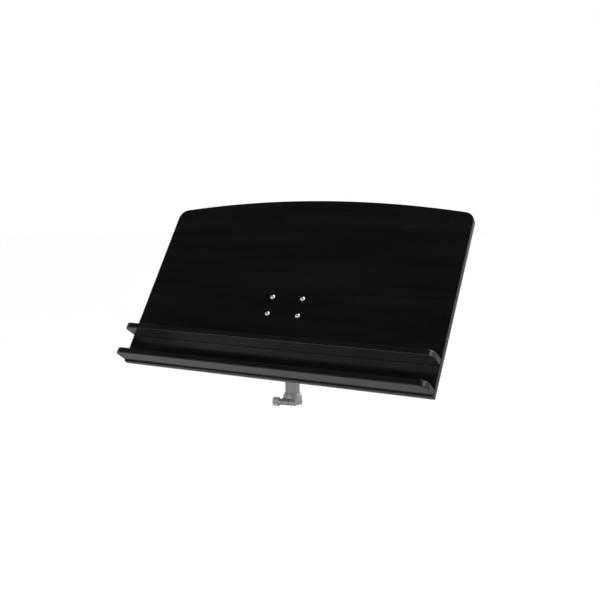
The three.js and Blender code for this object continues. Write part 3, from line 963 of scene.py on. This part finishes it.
class MUSICSTAND_OT_tilt_fasteners(Operator):
    """Make the tilt bolt, its washer and the two friction washers"""
    bl_idname = "music_stand.tilt_fasteners"
    bl_label = "Tilt Fasteners"
    bl_options = {"REGISTER", "UNDO"}

    def execute(self, context):
        low, high = span("tilt_bolt", PIVOT)
        shank = 4 * MM
        flats = 13 * MM
        head_face = low.z + 5.3 * MM
        head = hexagon_head(flats, low.z, head_face)
        profile = [(shank, head_face - 1 * MM), (shank, high.z - 26 * MM)]
        profile += threaded(shank, high.z - 25.5 * MM, high.z - 0.6 * MM, 1.25 * MM)
        profile.append((shank * 0.75, high.z))
        piece = turned("tilt_screw", profile, 40)
        join(piece, head)
        round_edges(piece, 0.1 * MM, steps=2, angle=50)
        install(piece, PIVOT, "desk", "zinc_steel", "tilt_bolt")
        washer("tilt_screw_washer", "tilt_washer", PIVOT, "desk", "zinc_steel")
        disc = ring_of("friction_disc_left", "friction_washer_left", PIVOT)
        other = copy_piece(disc, "friction_disc_right")
        apart = span("friction_washer_right", PIVOT)[0].z - span("friction_washer_left", PIVOT)[0].z
        install(disc, PIVOT, "stem", "black_plastic", "friction_washer_left")
        install(other, shifted(PIVOT, z=apart), "stem", "black_plastic", "friction_washer_right")
        return {"FINISHED"}


def ring_of(name, node, place, edge=0.15 * MM):
    """A ring with rounded edges, as wide and as thick as its CAD node."""
    low, high = span(node, place)
    inner, outer = radii(node, place)
    ring = turned(name, [
        (inner, low.z), (outer, low.z), (outer, high.z), (inner, high.z), (inner, low.z),
    ], 64)
    return round_edges(ring, edge, steps=2)


def washer(name, node, place, body, slot):
    return install(ring_of(name, node, place), place, body, slot, node)


def lobed_outline(radius, first_lobe, hardware, steps=24):
    """A knob's outline, with smooth lobes from the direction of the first one."""
    lobes, depth = hardware.knob_lobes, hardware.lobe_depth
    points = []
    for i in range(lobes * steps):
        angle = 2 * math.pi * i / (lobes * steps)
        valley = 0.5 - 0.5 * math.cos(lobes * (angle - first_lobe))
        reach = radius * (1 - depth * valley)
        points.append((reach * math.cos(angle), reach * math.sin(angle)))
    return points


class MUSICSTAND_OT_tilt_knob(Operator):
    """Make the tilt knob: a lobed grip on a ribbed hub, with its brass insert"""
    bl_idname = "music_stand.tilt_knob"
    bl_label = "Tilt Knob"
    bl_options = {"REGISTER", "UNDO"}

    def execute(self, context):
        hardware = context.scene.music_stand_hardware
        low, high = span("tilt_knob", PIVOT)
        pocket_end = span("tilt_knob_insert", PIVOT)[1].z + FIT_GAP
        pocket_radius = radii("tilt_knob_insert", PIVOT)[1] + 0.1 * MM
        grip_length = 17 * MM
        hub_radius = 8.5 * MM
        grip_radius = radii("tilt_knob", PIVOT)[1]
        grip_start = high.z - grip_length
        outline = lobed_outline(grip_radius, hardware.tilt_knob_turn, hardware)
        grip = slab("grip", outline, grip_start, high.z)
        round_edges(grip, 2.6 * MM, steps=5, angle=60)
        dish = turned("dish", [
            (3 * MM, high.z - 1.2 * MM), (7 * MM, high.z - 0.9 * MM), (9 * MM, high.z + 0.6 * MM),
        ], 64)
        cut(grip, dish)
        piece = turned("tilt_grip_knob", [
            (hub_radius - 0.6 * MM, low.z), (hub_radius, low.z + 0.6 * MM),
            (hub_radius, grip_start - 3 * MM),
            (hub_radius + 0.7 * MM, grip_start - 1.4 * MM), (hub_radius + 2.6 * MM, grip_start + 0.4 * MM),
            (hub_radius + 2.6 * MM, grip_start + 4 * MM),
        ], 72)
        join(piece, grip)
        ribs = 10
        rib_outline = [
            (-0.5 * MM, -0.7 * MM), (0.9 * MM, -0.45 * MM), (0.9 * MM, 0.45 * MM), (-0.5 * MM, 0.7 * MM),
        ]
        for i in range(ribs):
            rib = slab("rib", rib_outline, low.z + 2 * MM, grip_start + 0.5 * MM)
            spin = Matrix.Rotation(2 * math.pi * i / ribs, 4, "Z")
            rib.matrix_world = spin @ Matrix.Translation((hub_radius, 0, 0))
            join(piece, rib)
        cut(piece, rod("pocket", pocket_radius, low.z - OVERRUN, pocket_end, 48))
        round_edges(piece, 0.25 * MM, steps=2, angle=55)
        install(piece, PIVOT, "tilt_grip", "black_plastic", "tilt_knob")
        washer("tilt_knob_bush", "tilt_knob_insert", PIVOT, "tilt_grip", "brass")
        return {"FINISHED"}


class MUSICSTAND_OT_tilt_head(Operator):
    """Make the head on the stem: a cast eye on a tapered neck, its spigot and its pin"""
    bl_idname = "music_stand.tilt_head"
    bl_label = "Tilt Head"
    bl_options = {"REGISTER", "UNDO"}

    def execute(self, context):
        axis_z = TILT_AXIS.z
        low, high = span("tilt_head", centred("tilt_head", STEM))
        tube_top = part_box("stem_tube")[1].z
        stem_radius = high.x
        eye_radius = high.z - axis_z
        half_eye = 12 * MM
        spigot_radius = stem_radius - 1.8 * MM
        spigot_lip = 0.8 * MM
        shoulder = tube_top + 1.3 * MM
        piece = turned("stem_head", [
            (spigot_radius - spigot_lip, low.z), (spigot_radius, low.z + spigot_lip),
            (spigot_radius, tube_top + FIT_GAP), (stem_radius, tube_top + FIT_GAP),
            (stem_radius, shoulder), (half_eye, shoulder + stem_radius - half_eye),
            (half_eye, axis_z - 3 * MM),
        ], 96)
        eye = rod("eye", eye_radius, -half_eye, half_eye, 96)
        eye.matrix_world = crosswise(axis_z)
        join(piece, eye)
        pivot = rod("pivot", PIVOT_BORE, -half_eye - OVERRUN, half_eye + OVERRUN, 40)
        pivot.matrix_world = crosswise(axis_z)
        pin_low, pin_high, pin_z = pin_height()
        pin_bore = rod("pin_bore", PIN_BORE, -stem_radius - OVERRUN, stem_radius + OVERRUN, 32)
        pin_bore.matrix_world = crosswise(pin_z)
        cut(piece, pivot, pin_bore)
        cast(piece, CASTING_GRAIN, 6)
        install(piece, STEM, "stem", "satin_grey", "tilt_head")
        pin_place = axes_place(Vector((0, 0, pin_z)), Vector((0, 1, 0)), Vector((0, 0, 1)), ACROSS)
        pin = rod("stem_pin", (pin_high.z - pin_low.z) / 2, pin_low.x, pin_high.x, 40)
        round_edges(pin, 0.4 * MM, steps=3)
        install(pin, pin_place, "stem", "zinc_steel", "head_pin")
        return {"FINISHED"}


class MUSICSTAND_OT_stem(Operator):
    """Make the stem: the tube with its pin holes, and the plug in its lower end"""
    bl_idname = "music_stand.stem"
    bl_label = "Stem"
    bl_options = {"REGISTER", "UNDO"}

    def execute(self, context):
        low, high = span("stem_tube", STEM)
        radius = high.x
        inner = radius - 1.5 * MM
        lip = 0.35 * MM
        piece = turned("stem", [
            (inner, low.z), (radius - lip, low.z), (radius, low.z + lip), (radius, high.z - lip),
            (radius - lip, high.z), (inner, high.z), (inner, low.z),
        ], 128)
        hole = rod("hole", PIN_BORE, -radius - OVERRUN, radius + OVERRUN, 40)
        hole.matrix_world = crosswise(pin_height()[2])
        cut(piece, hole)
        install(piece, STEM, "stem", "satin_grey", "stem_tube")
        low, high = span("stem_end_plug", STEM)
        outer = high.x
        wall = 2 * MM
        centre = 0.5 * MM
        plug = turned("stem_plug", [
            (centre, low.z), (outer, low.z), (outer, high.z), (outer - wall, high.z),
            (outer - wall, low.z + wall), (centre, low.z + wall),
        ], 64)
        round_edges(plug, 0.3 * MM, steps=2)
        install(plug, STEM, "stem", "black_plastic", "stem_end_plug")
        return {"FINISHED"}


class MUSICSTAND_OT_clamp(Operator):
    """Make the clamp: the cast collar with its split lugs, the sleeve, the stud and its washer"""
    bl_idname = "music_stand.clamp"
    bl_label = "Clamp"
    bl_options = {"REGISTER", "UNDO"}

    def execute(self, context):
        hardware = context.scene.music_stand_hardware
        low, high = span("clamp_collar", CLAMP)
        axis_height = CLAMP.translation.z
        reach = CLAMP.translation.xy.length
        sleeve_inner, sleeve_outer = radii("guide_sleeve", STEM)
        sleeve_low, sleeve_high = span("guide_sleeve", STEM)
        top = high.y + axis_height
        base = hardware.collar_radius
        socket = base - hardware.collar_wall
        neck = sleeve_outer + FIT_GAP
        socket_top = sleeve_low.z - FIT_GAP
        neck_top = sleeve_high.z + FIT_GAP
        core = sleeve_inner - 3 * MM
        foot_edge = 0.5 * MM
        rim = 1.0 * MM
        piece = turned("collar", [
            (core, 0), (base - foot_edge, 0), (base, foot_edge),
            (base - COLLAR_TAPER, COLLAR_SHOULDER), (sleeve_inner + rim, top), (core, top), (core, 0),
        ], 128)
        lug = -low.x
        root = reach - socket / 3
        outline = arc(0, 0, lug, 90, 270, 32) + [(root, -lug), (root, lug)]
        lug_ends = [point.z for point in node_points("clamp_collar", CLAMP) if point.x < 0]
        lugs = slab("lugs", outline, min(lug_ends), max(lug_ends))
        lugs.matrix_world = CLAMP
        join(piece, lugs)
        bore = rod("bore", socket, -OVERRUN, socket_top, 128)
        upper = rod("upper", neck, socket_top - OVERRUN, neck_top, 128)
        throat = rod("throat", sleeve_inner, neck_top - OVERRUN, top + OVERRUN, 128)
        half = hardware.slit / 2
        front, back = -lug - OVERRUN, reach - socket / 2
        under, above = -lug - 2 * OVERRUN, lug + OVERRUN
        slit_outline = [(front, under), (back, under), (back, above), (front, above)]
        slit = slab("slit", slit_outline, -half, half)
        slit.matrix_world = CLAMP
        stud_low, stud_high = span("clamp_stud", CLAMP)
        stud_bore = rod("stud_bore", BOLT_BORE, low.z - OVERRUN, stud_high.z + FIT_GAP, 40)
        stud_bore.matrix_world = CLAMP
        cut(piece, bore, upper, throat, slit, stud_bore)
        cast(piece, CASTING_GRAIN, 5)
        install(piece, STEM, "clamp", "satin_grey", "clamp_collar")

        washer("stem_sleeve", "guide_sleeve", STEM, "sleeve", "black_plastic")
        washer("clamp_screw_washer", "clamp_washer", CLAMP, "clamp", "zinc_steel")
        radius = radii("clamp_stud", CLAMP)[1]
        profile = [(radius * 0.75, stud_low.z)]
        profile += threaded(radius, stud_low.z + 0.5 * MM, stud_high.z - 0.5 * MM, 1 * MM)
        profile.append((radius * 0.75, stud_high.z))
        stud = turned("clamp_screw", profile, 32)
        install(stud, CLAMP, "clamp", "zinc_steel", "clamp_stud")
        return {"FINISHED"}


class MUSICSTAND_OT_clamp_knob(Operator):
    """Make the clamp's knob: a small lobed grip with its brass insert"""
    bl_idname = "music_stand.clamp_knob"
    bl_label = "Clamp Knob"
    bl_options = {"REGISTER", "UNDO"}

    def execute(self, context):
        hardware = context.scene.music_stand_hardware
        low, high = span("clamp_knob", CLAMP)
        radius = radii("clamp_knob", CLAMP)[1]
        pocket_end = span("clamp_stud", CLAMP)[0].z - FIT_GAP
        pocket_radius = radii("clamp_knob_insert", CLAMP)[1] + 0.1 * MM
        outline = lobed_outline(radius, hardware.clamp_knob_turn, hardware)
        piece = slab("clamp_grip_knob", outline, low.z, high.z)
        round_edges(piece, 1.8 * MM, steps=5, angle=60)
        dish = turned("dish", [
            (6 * MM, low.z - 0.6 * MM), (4.6 * MM, low.z + 0.5 * MM), (2 * MM, low.z + 0.7 * MM),
        ], 48)
        cut(piece, dish, rod("pocket", pocket_radius, pocket_end, high.z + OVERRUN, 48))
        round_edges(piece, 0.2 * MM, steps=2, angle=55)
        install(piece, CLAMP, "clamp_grip", "grey_plastic", "clamp_knob")
        washer("clamp_knob_bush", "clamp_knob_insert", CLAMP, "clamp_grip", "brass")
        return {"FINISHED"}


MIRROR_GAP = 1 * MM
KEY_DIRECTION = Vector((0.30, 0.52, 0.80))
KEY_SPREAD = math.radians(60)
SIDE_BOX = {"offset": Vector((1.88, -0.47, 1.41)), "size": (1.2, 1.2)}
FRONT_BOX = {"offset": Vector((-1.15, -2.55, 0.42)), "size": (1.6, 0.6)}
BACKDROP_TOP = 0.30
CEILING_EDGE = 0.55


class MUSICSTAND_OT_stage(Operator):
    """Make the stage: a plain pale floor, soft studio light and the camera"""
    bl_idname = "music_stand.stage"
    bl_label = "Stage"
    bl_options = {"REGISTER", "UNDO"}

    def execute(self, context):
        stage = context.scene.music_stand_stage
        self.lay_floor(stage)
        self.lay_mirrored_floor(stage)
        self.light(stage)
        self.surround(context, stage)
        self.set_camera(context, stage)
        context.scene.view_settings.view_transform = "Standard"
        return {"FINISHED"}

    def round_floor(self, name, stage, depth):
        deselect()
        bpy.ops.mesh.primitive_circle_add(
            vertices=96, radius=stage.floor_radius, fill_type="NGON", location=(0, 0, -depth))
        floor = bpy.context.active_object
        floor.name = name
        return floor

    def lay_floor(self, stage):
        floor = self.round_floor("floor", stage, stage.floor_drop)
        shader = Shader("floor", stage.floor_colour, 0.9)
        tone = shader.noise(shader.coordinates.outputs["Object"], 0.8, detail=2)
        paler = [min(1.0, value * 1.02) for value in stage.floor_colour]
        shader.use(base_color=shader.blend(tone, stage.floor_colour, paler))
        floor.data.materials.append(shader.material)
        floor.visible_glossy = False

    def lay_mirrored_floor(self, stage):
        """A greyer floor just under the pale one, that only shows in what the lacquer mirrors."""
        mirrored = self.round_floor("mirrored_floor", stage, stage.floor_drop + MIRROR_GAP)
        shader = Shader("mirrored_floor", (0, 0, 0), 0.9)
        tone = shader.noise(shader.coordinates.outputs["Object"], 0.8, detail=2)
        paler = [min(1.0, value * 1.05) for value in stage.mirrored_colour]
        glow = shader.blend(tone, stage.mirrored_colour, paler)
        shader.use(emission_color=glow)
        shader.surface.inputs["Emission Strength"].default_value = 1
        mirrored.data.materials.append(shader.material)
        mirrored.visible_camera = False
        mirrored.visible_diffuse = False
        mirrored.visible_shadow = False

    def light(self, stage):
        """A broad light from above and behind, and two soft boxes that the lacquer mirrors."""
        deselect()
        bpy.ops.object.light_add(type="SUN", location=(1, 1.5, 3))
        key = bpy.context.active_object
        key.name = "key_light"
        key.data.energy = stage.key_strength
        key.data.angle = KEY_SPREAD
        key.rotation_mode = "QUATERNION"
        key.rotation_quaternion = KEY_DIRECTION.to_track_quat("Z", "Y")
        self.softbox("side_light", power=stage.side_strength, **SIDE_BOX)
        self.softbox("front_light", power=stage.front_strength, **FRONT_BOX)

    def softbox(self, name, offset, size, power):
        deselect()
        bpy.ops.object.light_add(type="AREA", location=TILT_AXIS + offset)
        lamp = bpy.context.active_object
        lamp.name = name
        lamp.data.shape = "RECTANGLE"
        lamp.data.size, lamp.data.size_y = size
        lamp.data.energy = power
        lamp.visible_camera = False
        lamp.rotation_mode = "QUATERNION"
        lamp.rotation_quaternion = offset.to_track_quat("Z", "Y")

    def surround(self, context, stage):
        """A white backdrop all round up to well above the horizon, and a dim studio overhead."""
        world = bpy.data.worlds.new("studio")
        world.use_nodes = True
        tree = world.node_tree
        direction = tree.nodes.new("ShaderNodeTexCoord")
        split = tree.nodes.new("ShaderNodeSeparateXYZ")
        level = tree.nodes.new("ShaderNodeMapRange")
        level.interpolation_type = "SMOOTHSTEP"
        level.inputs["From Min"].default_value = BACKDROP_TOP
        level.inputs["From Max"].default_value = CEILING_EDGE
        level.inputs["To Min"].default_value = stage.horizon
        level.inputs["To Max"].default_value = stage.ceiling
        tree.links.new(direction.outputs["Generated"], split.inputs["Vector"])
        tree.links.new(split.outputs["Z"], level.inputs["Value"])
        tree.links.new(level.outputs["Result"], tree.nodes["Background"].inputs["Color"])
        context.scene.world = world

    def set_camera(self, context, stage):
        back = Vector((
            math.sin(stage.azimuth) * math.cos(stage.elevation),
            -math.cos(stage.azimuth) * math.cos(stage.elevation),
            math.sin(stage.elevation),
        ))
        aim = TILT_AXIS + Vector(stage.aim)
        deselect()
        bpy.ops.object.camera_add(location=aim + back * stage.distance)
        camera = bpy.context.active_object
        camera.name = "camera"
        camera.rotation_mode = "QUATERNION"
        camera.rotation_quaternion = back.to_track_quat("Z", "Y")
        camera.data.lens = stage.lens
        context.scene.camera = camera


PIECES = (
    MUSICSTAND_OT_board,
    MUSICSTAND_OT_ledges,
    MUSICSTAND_OT_shelf_screws,
    MUSICSTAND_OT_board_bolts,
    MUSICSTAND_OT_board_nuts,
    MUSICSTAND_OT_bracket,
    MUSICSTAND_OT_tilt_fasteners,
    MUSICSTAND_OT_tilt_knob,
    MUSICSTAND_OT_tilt_head,
    MUSICSTAND_OT_stem,
    MUSICSTAND_OT_clamp,
    MUSICSTAND_OT_clamp_knob,
)


class MUSICSTAND_PT_sidebar(Panel):
    """Lists the pieces and the stage in the 3D view's sidebar"""
    bl_idname = "MUSICSTAND_PT_sidebar"
    bl_label = "Music Stand"
    bl_space_type = "VIEW_3D"
    bl_region_type = "UI"
    bl_category = "Music Stand"

    def draw(self, context):
        for operator in (MUSICSTAND_OT_stage, *PIECES):
            self.layout.operator(operator.bl_idname)
        for group in GROUPS:
            settings = getattr(context.scene, group)
            column = self.layout.column(align=True)
            for name in settings.__annotations__:
                column.prop(settings, name)


GROUPS = {
    "music_stand_board": BoardSettings,
    "music_stand_hardware": HardwareSettings,
    "music_stand_stage": StageSettings,
}


def register():
    for group in GROUPS.values():
        bpy.utils.register_class(group)
    for operator in (MUSICSTAND_OT_stage, *PIECES, MUSICSTAND_PT_sidebar):
        bpy.utils.register_class(operator)
    for name, group in GROUPS.items():
        setattr(bpy.types.Scene, name, PointerProperty(type=group))


def unregister():
    for name in GROUPS:
        delattr(bpy.types.Scene, name)
    for operator in reversed((MUSICSTAND_OT_stage, *PIECES, MUSICSTAND_PT_sidebar)):
        bpy.utils.unregister_class(operator)
    for group in reversed(GROUPS.values()):
        bpy.utils.unregister_class(group)


def main():
    register()
    bpy.ops.music_stand.stage()
    for operator in PIECES:
        getattr(bpy.ops.music_stand, operator.bl_idname.split(".")[1])()


if __name__ == "__main__":
    main()
